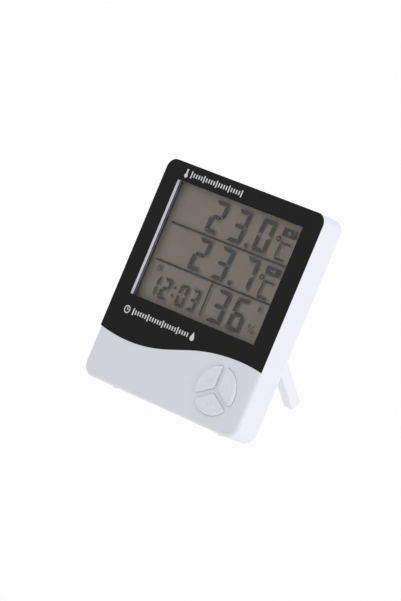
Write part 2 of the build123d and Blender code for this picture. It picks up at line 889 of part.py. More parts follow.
# Silicone keypad under the front keys, with a raised skirt round each stem
with BuildPart() as keypad_sheet:
    with BuildSketch(at(keypad_depth)):
        with Locations((key_x, key_z)):
            Circle(key_radius + keypad_margin)
        with Locations(*[key_middle(angle) for angle in key_angles]):
            Circle(skirt_radius - skirt_wall, mode=Mode.SUBTRACT)
    extrude(amount=-keypad)
    for angle in key_angles:
        add(turned(*key_middle(angle), [
            (skirt_radius, keypad_depth),
            (skirt_top_radius, skirt_depth),
            (skirt_top_radius - skirt_wall, skirt_depth),
            (skirt_radius - skirt_wall, keypad_depth),
        ]))
keypad_sheet.part.label = "keypad_sheet"

# Front keys
with BuildPart() as key_mode:
    add(key_body(mode_angle))
key_mode.part.label = "key_mode"

with BuildPart() as key_adjust:
    add(key_body(adjust_angle))
key_adjust.part.label = "key_adjust"

with BuildPart() as key_memory:
    add(key_body(memory_angle))
key_memory.part.label = "key_memory"

# Contact pill at the end of each front key's stem
with BuildPart() as pill_mode:
    add(rod(*key_middle(mode_angle), pill_radius, pill_depth, pill_depth + pill))
pill_mode.part.label = "pill_mode"

with BuildPart() as pill_adjust:
    add(rod(*key_middle(adjust_angle), pill_radius, pill_depth, pill_depth + pill))
pill_adjust.part.label = "pill_adjust"

with BuildPart() as pill_memory:
    add(rod(*key_middle(memory_angle), pill_radius, pill_depth, pill_depth + pill))
pill_memory.part.label = "pill_memory"

# Keys on the back, with their contact pills
with BuildPart() as unit_key:
    add(rear_key_body(unit_key_x))
unit_key.part.label = "unit_key"

with BuildPart() as reset_key:
    add(rear_key_body(reset_key_x))
reset_key.part.label = "reset_key"

with BuildPart() as pill_unit:
    add(rod(unit_key_x, rear_key_z, rear_pill_radius, rear_pill_depth, rear_pill_depth + pill))
pill_unit.part.label = "pill_unit"

with BuildPart() as pill_reset:
    add(rod(reset_key_x, rear_key_z, rear_pill_radius, rear_pill_depth, rear_pill_depth + pill))
pill_reset.part.label = "pill_reset"

# Socket for the outside probe, on the board, its nose in the hole in the left side
with BuildPart() as probe_jack:
    jack_low = jack_z - jack_width / 2
    jack_high = jack_z + jack_width / 2
    add(block(jack_left, jack_left + jack_length, jack_low, jack_high, board_back, board_back + jack_height))
    chamfer(edges().filter_by(rightward).group_by(outward)[0], jack_edge)
    with BuildSketch(side.offset(jack_nose_sink - case_width / 2)):
        with Locations((jack_depth, jack_z)):
            Circle(jack_hole_radius - jack_nose_gap)
    extrude(amount=side_wall + jack_inset - jack_nose_sink)
    with BuildSketch(side.offset(jack_nose_sink - case_width / 2)):
        with Locations((jack_depth, jack_z)):
            Circle(jack_bore_radius)
    extrude(amount=jack_bore_length, mode=Mode.SUBTRACT)
probe_jack.part.label = "probe_jack"

# Leg: a bar with rounded edges, a round root, a heel that stops it when it is open, and two pins
with BuildPart() as stand_leg:
    with BuildSketch(side.offset(leg_x - leg_width / 2)):
        with BuildLine():
            Polyline(
                leg_point(0, -leg_thickness / 2),
                leg_point(leg_length, -leg_thickness / 2),
                leg_point(leg_length, leg_thickness / 2),
                leg_point(0, leg_thickness / 2),
                close=True,
            )
        make_face()
        fillet(vertices().sort_by(Axis.Y)[0], tip_rounding)
        fillet(vertices().sort_by(Axis.X)[-1], tip_back_rounding)
        with Locations((hinge_depth, hinge_height)):
            Circle(leg_thickness / 2)
        heel_reach = leg_thickness / 2 + pocket_gap - heel_gap
        with Locations((hinge_depth - heel_reach / 2, hinge_height + heel_height / 2)):
            Rectangle(heel_reach, heel_height)
    extrude(amount=leg_width)
    chamfer(edges().filter_by(Axis((0, 0, 0), side.from_local_coords(leg_way) - side.origin)), leg_edge)
    with BuildSketch(side.offset(leg_x - pin_reach)):
        with Locations((hinge_depth, hinge_height)):
            Circle(pin_radius)
    extrude(amount=2 * pin_reach)
stand_leg.part.label = "stand_leg"

# Door of the battery bay: a plate with two hooks at its left end and a latch at its right end
with BuildPart() as battery_door:
    with BuildSketch(level.offset(cell_z - bay_half - door_ledge + door_gap)):
        with BuildLine():
            Polyline(
                (door_edge(door_inside), door_inside),
                (door_edge(case_depth), case_depth),
                (bay_right + door_ledge - door_gap, case_depth),
                (bay_right + door_ledge - door_gap, door_inside),
                close=True,
            )
        make_face()
    extrude(amount=2 * (bay_half + door_ledge - door_gap))
    latch_low = cell_z - latch_width / 2
    latch_high = cell_z + latch_width / 2
    latch_end = latch_right - door_gap
    latch_tip = door_inside - latch_drop
    add(block(bay_right, latch_end, latch_low, latch_high, door_inside, case_depth))
    add(block(latch_end - latch_leg, latch_end, latch_low, latch_high, latch_tip, case_depth))
    neck_left = bay_left + bay_gap
    neck_right = neck_left + hook
    for middle in hook_heights:
        low = middle - hook_width / 2
        high = middle + hook_width / 2
        add(block(pivot_x - hook, neck_right, low, high, hook_depth, pivot_depth))
        add(block(neck_left, neck_right, low, high, hook_depth, door_inside + ridge_sink))
    with BuildSketch(at(case_depth)):
        with Locations((bay_right - ridge_inset - ridge_count * ridge_pitch / 2, cell_z)):
            with GridLocations(ridge_pitch, ridge_pitch, ridge_count, 1):
                Rectangle(ridge_width, latch_width)
    extrude(amount=ridge_sink, mode=Mode.SUBTRACT)
battery_door.part.label = "battery_door"

# Battery cell between its two contacts
with BuildPart() as battery_cell:
    with BuildSketch(side.offset(cell_left)):
        with Locations((cell_depth, cell_z)):
            Circle(cell_radius)
    extrude(amount=cell_right - cell_left)
    chamfer(faces().sort_by(rightward)[0].edges() + faces().sort_by(rightward)[-1].edges(), cell_edge)
    with BuildSketch(side.offset(cell_right)):
        with Locations((cell_depth, cell_z)):
            Circle(nub_radius)
    extrude(amount=nub_length)
battery_cell.part.label = "battery_cell"

with BuildPart() as battery_spring:
    with BuildSketch(side.offset(spring_front - contact_plate)):
        with Locations((cell_depth, cell_z)):
            RectangleRounded(2 * contact_half, 2 * contact_half, contact_corner)
    extrude(amount=contact_plate)
    with BuildLine() as coil:
        Helix(
            pitch=coil_height / coil_turns,
            height=coil_height,
            radius=coil_radius,
            center=side.from_local_coords((cell_depth, cell_z, spring_front)),
            direction=side.z_dir,
            cone_angle=-degrees(atan2(coil_radius - coil_tip_radius, coil_height)),
        )
    with BuildSketch(Plane(coil.line @ 0, z_dir=coil.line % 0)):
        RegularPolygon(wire_radius, wire_sides)
    sweep(path=coil.line, is_frenet=True)
battery_spring.part.label = "battery_spring"

with BuildPart() as battery_plate:
    with BuildSketch(side.offset(plate_left)):
        with Locations((cell_depth, cell_z)):
            RectangleRounded(2 * contact_half, 2 * contact_half, contact_corner)
    extrude(amount=contact_plate)
    with BuildSketch(side.offset(plate_left)):
        with Locations((cell_depth, cell_z)):
            Circle(dimple_radius)
    extrude(amount=-dimple)
    chamfer(faces().sort_by(rightward)[0].edges(), dimple_edge)
battery_plate.part.label = "battery_plate"

# Screws that hold the two halves together, and those that hold the board
with BuildPart() as case_screws:
    for x, z in screw_places:
        add(screw_body(x, z, screw_radius, screw_length, screw_head_radius, screw_head, screw_seat))
case_screws.part.label = "case_screws"

with BuildPart() as board_screws:
    for x, z in post_places:
        small = (board_screw_radius, board_screw_length, board_screw_head_radius, board_screw_head)
        add(screw_body(x, z, *small, board_back))
board_screws.part.label = "board_screws"

# Rubber feet
with BuildPart() as foot_pads:
    with BuildSketch(level.offset(-foot_rise)):
        with Locations((-foot_x, foot_depth), (foot_x, foot_depth)):
            Circle(foot_radius - foot_play)
    extrude(amount=foot_rise + foot_sink)
    chamfer(edges().group_by(upward)[0], foot_edge)
foot_pads.part.label = "foot_pads"

os.makedirs("parts", exist_ok=True)
export_step(front_case.part, "parts/front_case.step")
export_step(rear_case.part, "parts/rear_case.step")
export_step(face_film.part, "parts/face_film.step")
export_step(window_lens.part, "parts/window_lens.step")
export_step(lcd_frame.part, "parts/lcd_frame.step")
export_step(lcd_front_glass.part, "parts/lcd_front_glass.step")
export_step(lcd_rear_glass.part, "parts/lcd_rear_glass.step")
export_step(lcd_reflector.part, "parts/lcd_reflector.step")
export_step(zebra_strip.part, "parts/zebra_strip.step")
export_step(main_board.part, "parts/main_board.step")
export_step(chip_blob.part, "parts/chip_blob.step")
export_step(crystal_can.part, "parts/crystal_can.step")
export_step(thermistor_bead.part, "parts/thermistor_bead.step")
export_step(humidity_sensor.part, "parts/humidity_sensor.step")
export_step(capacitor.part, "parts/capacitor.step")
export_step(buzzer.part, "parts/buzzer.step")
export_step(keypad_sheet.part, "parts/keypad_sheet.step")
export_step(key_mode.part, "parts/key_mode.step")
export_step(key_adjust.part, "parts/key_adjust.step")
export_step(key_memory.part, "parts/key_memory.step")
export_step(pill_mode.part, "parts/pill_mode.step")
export_step(pill_adjust.part, "parts/pill_adjust.step")
export_step(pill_memory.part, "parts/pill_memory.step")
export_step(unit_key.part, "parts/unit_key.step")
export_step(reset_key.part, "parts/reset_key.step")
export_step(pill_unit.part, "parts/pill_unit.step")
export_step(pill_reset.part, "parts/pill_reset.step")
export_step(probe_jack.part, "parts/probe_jack.step")
export_step(stand_leg.part, "parts/stand_leg.step")
export_step(battery_door.part, "parts/battery_door.step")
export_step(battery_cell.part, "parts/battery_cell.step")
export_step(battery_spring.part, "parts/battery_spring.step")
export_step(battery_plate.part, "parts/battery_plate.step")
export_step(case_screws.part, "parts/case_screws.step")
export_step(board_screws.part, "parts/board_screws.step")
export_step(foot_pads.part, "parts/foot_pads.step")
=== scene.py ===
import json
import math
import bmesh
import bpy
from mathutils import Matrix, Vector


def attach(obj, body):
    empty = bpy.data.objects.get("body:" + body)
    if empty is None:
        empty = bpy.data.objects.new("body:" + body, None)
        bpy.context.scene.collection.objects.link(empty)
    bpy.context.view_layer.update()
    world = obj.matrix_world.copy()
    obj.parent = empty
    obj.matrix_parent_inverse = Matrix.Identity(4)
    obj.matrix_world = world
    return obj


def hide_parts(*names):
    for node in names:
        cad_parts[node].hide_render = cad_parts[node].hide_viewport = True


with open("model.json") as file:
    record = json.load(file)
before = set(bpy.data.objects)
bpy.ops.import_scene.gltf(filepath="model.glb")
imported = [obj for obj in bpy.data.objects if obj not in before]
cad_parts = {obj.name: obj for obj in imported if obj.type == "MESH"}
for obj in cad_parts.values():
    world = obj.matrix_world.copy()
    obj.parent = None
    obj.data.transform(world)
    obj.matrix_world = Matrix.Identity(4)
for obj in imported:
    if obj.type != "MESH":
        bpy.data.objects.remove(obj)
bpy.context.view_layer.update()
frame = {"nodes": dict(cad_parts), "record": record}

# How the case stands. The record's back face gives the way out of the leaning case's back
# and one point of it, and from these comes every place below, in millimetres to the right,
# behind the face film and up the case.
back_face = next(mount for mount in frame["record"]["mounts"] if mount["name"] == "back_face")
millimetre = 0.001
back_face_place = (10.0, 16.5, 70.0)
rightward = Vector((1, 0, 0))
backward = Vector(back_face["axis"]).normalized()
upward = rightward.cross(backward)


def offset(x, depth, height):
    """The vector for these millimetres along the case's own directions."""
    return (rightward * x + backward * depth + upward * height) * millimetre


case_corner = Vector(back_face["pos_m"]) - offset(*back_face_place)


def place(x, depth, height):
    """The point at these millimetres on the case."""
    return case_corner + offset(x, depth, height)


# The camera: a long lens, turned to the clock's right side. Its yaw, roll and distance were
# fitted to the case's corners in the photograph.
camera_yaw = math.radians(40.8686)
camera_roll = math.radians(22.7117)
camera_distance = 1483.15
camera_aim_x, camera_aim_height = -0.367, 51.70
camera_lens = 196.1
middle_height = 54.0
view_forward = backward * math.cos(camera_yaw) - rightward * math.sin(camera_yaw)
view_aside = rightward * math.cos(camera_yaw) + backward * math.sin(camera_yaw)
view_right = view_aside * math.cos(camera_roll) + upward * math.sin(camera_roll)
view_up = upward * math.cos(camera_roll) - view_aside * math.sin(camera_roll)
case_middle = place(0, 0, middle_height)
eye = case_middle - view_forward * camera_distance * millimetre
eye = eye + (view_right * camera_aim_x + view_up * (camera_aim_height - middle_height)) * millimetre
camera = bpy.data.objects.new("camera", bpy.data.cameras.new("camera"))
camera.data.lens = camera_lens
turned = Matrix((view_right, view_up, -view_forward)).transposed()
camera.matrix_world = Matrix.Translation(eye) @ turned.to_4x4()
bpy.context.scene.collection.objects.link(camera)
bpy.context.scene.camera = camera
bpy.context.scene.view_settings.view_transform = "Standard"


# The table and the light: a pale table top that shows white to the camera and keeps a soft
# shadow, even light all round, a large lamp at the right side and a weaker one at the front.
def link(material, start, end):
    """Joins one node's output socket to another's input socket."""
    material.node_tree.links.new(start, end)


def new_node(material, kind, **settings):
    """A new node, with its settings."""
    node = material.node_tree.nodes.new(kind)
    for name, value in settings.items():
        setattr(node, name, value)
    return node


def seen_directly(material):
    """A socket that is 1 for rays that show the backdrop: camera, mirrored and clear ones."""
    path = new_node(material, "ShaderNodeLightPath")
    total = path.outputs["Is Camera Ray"]
    for name in ("Is Glossy Ray", "Is Transmission Ray"):
        joined = new_node(material, "ShaderNodeMath", operation="MAXIMUM")
        link(material, total, joined.inputs[0])
        link(material, path.outputs[name], joined.inputs[1])
        total = joined.outputs[0]
    return total


table_size = 6.0
table_colour = (0.94, 0.94, 0.95, 1)
table_glow, table_glow_all = 0.96, 1.0
floor_mesh = bpy.data.meshes.new("table_top")
half = table_size / 2
table_corners = [(-half, -half, 0), (half, -half, 0), (half, half, 0), (-half, half, 0)]
floor_mesh.from_pydata(table_corners, [], [(0, 1, 2, 3)])
floor = bpy.data.objects.new("table_top", floor_mesh)
bpy.context.scene.collection.objects.link(floor)
table_paint = bpy.data.materials.new("table_paint")
table_paint.use_nodes = True
table_paint.node_tree.nodes.clear()
table_end = new_node(table_paint, "ShaderNodeOutputMaterial")
table_lit = new_node(table_paint, "ShaderNodeBsdfDiffuse")
table_lit.inputs["Color"].default_value = table_colour
table_white = new_node(table_paint, "ShaderNodeEmission")
table_share = new_node(table_paint, "ShaderNodeMath", operation="MULTIPLY_ADD")
table_share.inputs[1].default_value = table_glow - table_glow_all
table_share.inputs[2].default_value = table_glow_all
table_mix = new_node(table_paint, "ShaderNodeMixShader")
link(table_paint, seen_directly(table_paint), table_share.inputs[0])
link(table_paint, table_share.outputs[0], table_mix.inputs[0])
link(table_paint, table_lit.outputs[0], table_mix.inputs[1])
link(table_paint, table_white.outputs[0], table_mix.inputs[2])
link(table_paint, table_mix.outputs[0], table_end.inputs[0])
floor_mesh.materials.append(table_paint)

sky_colour = (0.96, 0.97, 1.0, 1)
tent_level, front_level = 0.95, 0.3
front_narrowest, front_widest = 0.97, 0.45
world = bpy.data.worlds.new("room")
world.use_nodes = True
bpy.context.scene.world = world
world.node_tree.nodes.clear()
sky = new_node(world, "ShaderNodeBackground")
sky.inputs["Color"].default_value = sky_colour
facing = new_node(world, "ShaderNodeVectorMath", operation="DOT_PRODUCT")
facing.inputs[1].default_value = -backward
link(world, new_node(world, "ShaderNodeTexCoord").outputs["Generated"], facing.inputs[0])
level = new_node(world, "ShaderNodeMapRange", interpolation_type="SMOOTHSTEP")
for name, value in (
    ("From Min", front_widest),
    ("From Max", front_narrowest),
    ("To Min", tent_level),
    ("To Max", front_level),
):
    level.inputs[name].default_value = value
link(world, facing.outputs["Value"], level.inputs["Value"])
link(world, level.outputs["Result"], sky.inputs["Strength"])
white = new_node(world, "ShaderNodeBackground")
sky_mix = new_node(world, "ShaderNodeMixShader")
sky_end = new_node(world, "ShaderNodeOutputWorld")
link(world, seen_directly(world), sky_mix.inputs[0])
link(world, sky.outputs[0], sky_mix.inputs[1])
link(world, white.outputs[0], sky_mix.inputs[2])
link(world, sky_mix.outputs[0], sky_end.inputs[0])


def add_lamp(name, where, power, size):
    """A square lamp that faces the clock's middle."""
    lamp = bpy.data.objects.new(name, bpy.data.lights.new(name, "AREA"))
    lamp.data.energy = power
    lamp.data.size = size
    lamp.location = where
    lamp.rotation_euler = (case_middle - Vector(where)).to_track_quat("-Z", "Y").to_euler()
    bpy.context.scene.collection.objects.link(lamp)


add_lamp("side_lamp", where=(1.3, -0.1, 0.5), power=3.4, size=0.7)
add_lamp("front_lamp", where=(-0.75, -0.9, 0.75), power=1.4, size=0.5)

# The two halves of the case and the door of the battery bay: white moulded plastic with a
# faint lavender cast and a very fine grain. The halves are screwed together from behind.
cloud_scale, cloud_detail = 60.0, 3.0
gloss_spread = 0.1
grain_scale, grain_detail = 2600.0, 2.0
grain_height = 0.05


def moulded_plastic(name, colour, roughness, grain_relief=0.06, mottle=0.012):
    """Moulded plastic: slow changes of tone and gloss, and a fine grain."""
    material = bpy.data.materials.new(name)
    material.use_nodes = True
    shader = material.node_tree.nodes["Principled BSDF"]
    where = new_node(material, "ShaderNodeTexCoord").outputs["Object"]
    cloud = new_node(material, "ShaderNodeTexNoise")
    cloud.inputs["Scale"].default_value = cloud_scale
    cloud.inputs["Detail"].default_value = cloud_detail
    link(material, where, cloud.inputs["Vector"])
    tone = new_node(material, "ShaderNodeMix", data_type="RGBA")
    tone.inputs["A"].default_value = (*[part * (1 - mottle) for part in colour], 1)
    tone.inputs["B"].default_value = (*[min(1, part * (1 + mottle)) for part in colour], 1)
    link(material, cloud.outputs["Fac"], tone.inputs["Factor"])
    link(material, tone.outputs["Result"], shader.inputs["Base Color"])
    gloss = new_node(material, "ShaderNodeMapRange")
    gloss.inputs["To Min"].default_value = roughness * (1 - gloss_spread)
    gloss.inputs["To Max"].default_value = roughness * (1 + gloss_spread)
    link(material, cloud.outputs["Fac"], gloss.inputs["Value"])
    link(material, gloss.outputs["Result"], shader.inputs["Roughness"])
    grain = new_node(material, "ShaderNodeTexNoise")
    grain.inputs["Scale"].default_value = grain_scale
    grain.inputs["Detail"].default_value = grain_detail
    link(material, where, grain.inputs["Vector"])
    relief = new_node(material, "ShaderNodeBump")
    relief.inputs["Strength"].default_value = grain_relief
    relief.inputs["Distance"].default_value = grain_height * millimetre
    link(material, grain.outputs["Fac"], relief.inputs["Height"])
    link(material, relief.outputs["Normal"], shader.inputs["Normal"])
    return material


def dress(material, *nodes):
    """Gives CAD nodes their material."""
    for name in nodes:
        mesh = frame["nodes"][name].data
        mesh.materials.clear()
        mesh.materials.append(material)


shell_white = moulded_plastic("shell_white", colour=(0.80, 0.795, 0.855), roughness=0.36)
dress(shell_white, "front_case", "rear_case", "battery_door")


# The black face: a printed film glued on the front above the wave. White marks are printed
# on it over and under the window: a thermometer and a scale, a dial, a scale and a drop.
def slab(mesh, outline, front, rear, hole=None):
    """Adds a thin plate with this outline to a mesh being built, with or without a hole."""
    rings = [outline] if hole is None else [outline, hole]
    front_rings = [[mesh.verts.new(place(x, front, z)) for x, z in ring] for ring in rings]
    rear_rings = [[mesh.verts.new(place(x, rear, z)) for x, z in ring] for ring in rings]
    for face_ring, back_ring in zip(front_rings, rear_rings):
        for here in range(len(face_ring)):
            there = (here + 1) % len(face_ring)
            mesh.faces.new((face_ring[here], face_ring[there], back_ring[there], back_ring[here]))
    if hole is None:
        mesh.faces.new(front_rings[0])
        mesh.faces.new(rear_rings[0])
        return
    for outer, inner in (front_rings, rear_rings):
        for here in range(len(outer)):
            there = (here + 1) % len(outer)
            mesh.faces.new((outer[here], outer[there], inner[there], inner[here]))


def disc(x, z, radius, count=28):
    """The outline of a disc."""
    turns = [2 * math.pi * step / count for step in range(count)]
    return [(x + radius * math.cos(turn), z + radius * math.sin(turn)) for turn in turns]


def bar(start, end, width):
    """The outline of a straight stroke."""
    along = Vector((end[0] - start[0], end[1] - start[1])).normalized() * (width / 2)
    across = Vector((-along.y, along.x))
    return [
        (start[0] + across.x, start[1] + across.y),
        (start[0] - across.x, start[1] - across.y),
        (end[0] - across.x, end[1] - across.y),
        (end[0] + across.x, end[1] + across.y),
    ]


def box_outline(left, right, low, high):
    """The outline of an upright box."""
    return [(left, low), (right, low), (right, high), (left, high)]


drop_start, drop_sweep, drop_point = 150, 240, 2.3


def drop(x, z, radius, count=20):
    """The outline of a drop with its point upwards."""
    turns = [math.radians(drop_start + drop_sweep * step / count) for step in range(count + 1)]
    round_part = [(x + radius * math.cos(turn), z + radius * math.sin(turn)) for turn in turns]
    return round_part + [(x, z + drop_point * radius)]


def finish_piece(name, mesh, material, body):
    """Turns a built mesh into a piece that rides on a body."""
    bmesh.ops.recalc_face_normals(mesh, faces=mesh.faces)
    data = bpy.data.meshes.new(name)
    mesh.to_mesh(data)
    mesh.free()
    data.materials.append(material)
    piece = bpy.data.objects.new(name, data)
    bpy.context.scene.collection.objects.link(piece)
    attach(piece, body)
    return piece


film_shine = 0.11
film_black = moulded_plastic(
    "film_black", colour=(0.0045, 0.0045, 0.004), roughness=0.42, grain_relief=0.03, mottle=0.15
)
film_black.node_tree.nodes["Principled BSDF"].inputs["Specular IOR Level"].default_value = film_shine
dress(film_black, "face_film")

print_white = moulded_plastic("print_white", colour=(0.72, 0.72, 0.75), roughness=0.5, grain_relief=0.02)
print_front, print_rear = -0.03, 0.0
marks = bmesh.new()


def print_mark(outline, hole=None):
    """Prints one mark on the film."""
    slab(marks, outline, print_front, print_rear, hole)


tick_width, tick_step = 0.72, 1.62
short_reach, long_reach = 1.0, 1.7


def print_scale(left, height, ticks, between):
    """Prints a row of ticks, with a long one at every so many."""
    for tick in range(ticks):
        x = left + tick * tick_step
        reach = long_reach if tick % between == 0 else short_reach
        print_mark(bar((x, height - reach), (x, height + reach), tick_width))


top_row, low_row = 103.5, 35.1
thermometer_x, bulb_below, bulb_radius = -36.8, 1.2, 1.05
stem_half, stem_below, stem_above = 0.5, 0.4, 1.9
print_mark(disc(thermometer_x, top_row - bulb_below, bulb_radius))
stem_left, stem_right = thermometer_x - stem_half, thermometer_x + stem_half
print_mark(box_outline(stem_left, stem_right, top_row - stem_below, top_row + stem_above))
print_scale(left=-33.6, height=top_row, ticks=21, between=5)
dial_x, dial_radius, dial_rim = -38.4, 1.9, 0.5
hand_width, long_hand = 0.4, 1.15
short_hand_start, short_hand_end = 0.25, 1.05
print_mark(disc(dial_x, low_row, dial_radius), disc(dial_x, low_row, dial_radius - dial_rim))
print_mark(bar((dial_x, low_row - hand_width / 2), (dial_x, low_row + long_hand), hand_width))
print_mark(bar((dial_x + short_hand_start, low_row), (dial_x + short_hand_end, low_row), hand_width))
print_scale(left=-34.3, height=low_row, ticks=23, between=6)
drop_x, drop_below, drop_radius = 4.6, 0.6, 1.3
print_mark(drop(drop_x, low_row - drop_below, drop_radius))
finish_piece("face_print", marks, print_white, "case")

# The clear pane behind the window and the front glass of the display: thin and smooth, so
# they show what is behind them and mirror a little of the room at a slant.
haze_scale, haze_spread = 90.0, 0.3
mirror_index = 1.2


def clear_pane(name, tint, roughness):
    """Thin clear sheet: lets light straight through and mirrors by its angle."""
    material = bpy.data.materials.new(name)
    material.use_nodes = True
    tree = material.node_tree
    shader = tree.nodes["Principled BSDF"]
    shader.inputs["Base Color"].default_value = (*tint, 1)
    haze = new_node(material, "ShaderNodeTexNoise")
    haze.inputs["Scale"].default_value = haze_scale
    link(material, new_node(material, "ShaderNodeTexCoord").outputs["Object"], haze.inputs["Vector"])
    gloss = new_node(material, "ShaderNodeMapRange")
    gloss.inputs["To Min"].default_value = roughness * (1 - haze_spread)
    gloss.inputs["To Max"].default_value = roughness * (1 + haze_spread)
    link(material, haze.outputs["Fac"], gloss.inputs["Value"])
    link(material, gloss.outputs["Result"], shader.inputs["Roughness"])
    through = new_node(material, "ShaderNodeBsdfTransparent")
    through.inputs["Color"].default_value = (*tint, 1)
    mirror = new_node(material, "ShaderNodeFresnel")
    mirror.inputs["IOR"].default_value = mirror_index
    mix = new_node(material, "ShaderNodeMixShader")
    link(material, mirror.outputs[0], mix.inputs[0])
    link(material, through.outputs[0], mix.inputs[1])
    link(material, shader.outputs[0], mix.inputs[2])
    link(material, mix.outputs[0], tree.nodes["Material Output"].inputs["Surface"])
    return material


dress(clear_pane("pane_clear", tint=(0.97, 0.97, 0.97), roughness=0.08), "window_lens")
dress(clear_pane("display_clear", tint=(0.97, 0.97, 0.96), roughness=0.12), "lcd_front_glass")

# A thin black ring shaped as a tape between the pane and the frame behind it, with its inner
# edge just inside the window: painted shade, a dark sheet standing for the shade in the gap
# behind the pane. At a slant it shows as a dark line beside the pale wall.
gap_shade_black = moulded_plastic(
    "gap_shade_black", colour=(0.02, 0.019, 0.022), roughness=0.6, grain_relief=0.1, mottle=0.1
)
window_left, window_right, window_low, window_high = -40.6, 39.6, 42.5, 99.3
shade_outside, shade_inside = 1.1, -0.1
shade_front, shade_rear = 2.44, 2.48


def window_ring(margin):
    """The window's outline, made larger all round."""
    left, right = window_left - margin, window_right + margin
    return box_outline(left, right, window_low - margin, window_high + margin)


# The black of this ring is painted shade for the gap behind the pane.
gap_shade_ring = bmesh.new()
slab(gap_shade_ring, window_ring(shade_outside), shade_front, shade_rear, window_ring(shade_inside))
finish_piece("pane_gap_shade", gap_shade_ring, gap_shade_black, "case")

# The frame round the display is matt pale plastic. The rear glass is clear, with cut edges
# and a polarising foil on its back, and a reflector lies behind it: foil and reflector give
# the display its dull warm grey ground, on which the figures cast a faint shadow.
frame_pale = moulded_plastic("frame_pale", colour=(0.8, 0.79, 0.84), roughness=0.5)
dress(frame_pale, "lcd_frame")
reflector_grey = moulded_plastic(
    "reflector_grey", colour=(0.45, 0.387, 0.328), roughness=0.6, grain_relief=0.2, mottle=0.03
)
dress(reflector_grey, "lcd_reflector")
foil_margin, glass_margin = 0.75, 0.9
glass_front, glass_rear, foil_thickness = 4.25, 5.3, 0.1
foil = bmesh.new()
slab(foil, window_ring(foil_margin), glass_rear - foil_thickness, glass_rear)
rear_foil = finish_piece("lcd_rear_foil", foil, reflector_grey, "case")
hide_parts("lcd_rear_glass")
glass_edges = bmesh.new()
slab(glass_edges, window_ring(glass_margin), glass_front, glass_rear, window_ring(foil_margin))
edge_grey = moulded_plastic(
    "cut_glass_edge", colour=(0.12, 0.1, 0.12), roughness=0.5, grain_relief=0.1, mottle=0.1
)
finish_piece("lcd_rear_edges", glass_edges, edge_grey, "case")

# The display's figures: liquid crystal between the glasses, dark where it is switched on.
# Plain seven-stroke figures show two temperatures, the time and the humidity. Two small
# dark boxes beside the temperatures belong to the same layer.
figure_front, figure_rear = 4.17, 4.21
figure_slant = 0.05
figure_gap = 0.24
ink = moulded_plastic(
    "crystal_dark", colour=(0.055, 0.047, 0.055), roughness=0.5, grain_relief=0.02, mottle=0.05
)
strokes_of = {"0": "abcdef", "1": "bc", "2": "abged", "3": "abgcd", "6": "acdefg", "7": "abc"}


def strokes(width, height, thick):
    """The outlines of a figure's seven strokes, from its lower left corner."""
    gap, half_height = figure_gap, height / 2
    upper_left = [
        (0, height - gap),
        (thick, height - gap - thick),
        (thick, half_height + thick / 2 + gap),
        (0, half_height + gap),
    ]
    lower = [(gap, 0), (width - gap, 0), (width - gap - thick, thick), (gap + thick, thick)]
    return {
        "a": [(x, height - z) for x, z in lower],
        "b": [(width - x, z) for x, z in upper_left],
        "c": [(width - x, height - z) for x, z in upper_left],
        "d": lower,
        "e": [(x, height - z) for x, z in upper_left],
        "f": upper_left,
        "g": [
            (gap + thick / 2, half_height),
            (gap + thick, half_height + thick / 2),
            (width - gap - thick, half_height + thick / 2),
            (width - gap - thick / 2, half_height),
            (width - gap - thick, half_height - thick / 2),
            (gap + thick, half_height - thick / 2),
        ],
    }


def inked(mesh, outline, hole=None):
    """Adds a switched-on shape to the layer between the glasses."""
    slab(mesh, outline, figure_front, figure_rear, hole)


def figure(mesh, sign, left, low, width, height, thick):
    """Adds one figure to the display."""
    outlines = strokes(width, height, thick)
    for stroke in strokes_of[sign]:
        inked(mesh, [(left + x + figure_slant * z, low + z) for x, z in outlines[stroke]])


# A row has the height of its foot, the width, height and stroke of its figures, and each
# figure with the place of its left side.
temperature_size = (8.1, 15.5, 1.85)
clock_size = (5.2, 10.3, 1.45)
humidity_size = (8.1, 15.5, 1.8)
figure_rows = (
    (81.85, temperature_size, (("2", -17.6), ("3", -3.1), ("0", 12.7))),
    (63.2, temperature_size, (("2", -18.4), ("3", -3.8), ("7", 12.3))),
    (45.3, clock_size, (("1", -35.8), ("2", -28.5), ("0", -17.5), ("3", -10.0))),
    (44.6, humidity_size, (("3", 4.1), ("6", 16.5))),
)
decimal_points, decimal_radius = ((9.3, 82.7), (8.7, 64.2)), 1.15
colon_points, colon_radius = ((-20.0, 52.6), (-20.3, 48.8)), 0.75
crystal = bmesh.new()
for low, size, figures in figure_rows:
    for sign, left in figures:
        figure(crystal, sign, left, low, *size)
for points, radius in ((decimal_points, decimal_radius), (colon_points, colon_radius)):
    for x, z in points:
        inked(crystal, disc(x, z, radius))

# Each degree ring has its letter's three strokes beside it, given from the ring's middle.
degree_rings = ((25.7, 90.9), (25.1, 72.1))
ring_radius, ring_hole = 1.35, 0.65
letter_stroke = 1.05
letter_strokes = (((1.9, -1.2), (8.0, -1.2)), ((2.2, -2.0), (1.8, -8.0)), ((1.6, -8.7), (7.4, -8.7)))
for x, z in degree_rings:
    inked(crystal, disc(x, z, ring_radius), disc(x, z, ring_hole))
    for (start_x, start_z), (end_x, end_z) in letter_strokes:
        inked(crystal, bar((x + start_x, z + start_z), (x + end_x, z + end_z), letter_stroke))
inked(crystal, box_outline(left=26.6, right=34.7, low=92.8, high=96.7))
inked(crystal, box_outline(left=25.9, right=34.3, low=74.2, high=78.2))
finish_piece("lcd_figures", crystal, ink, "case")

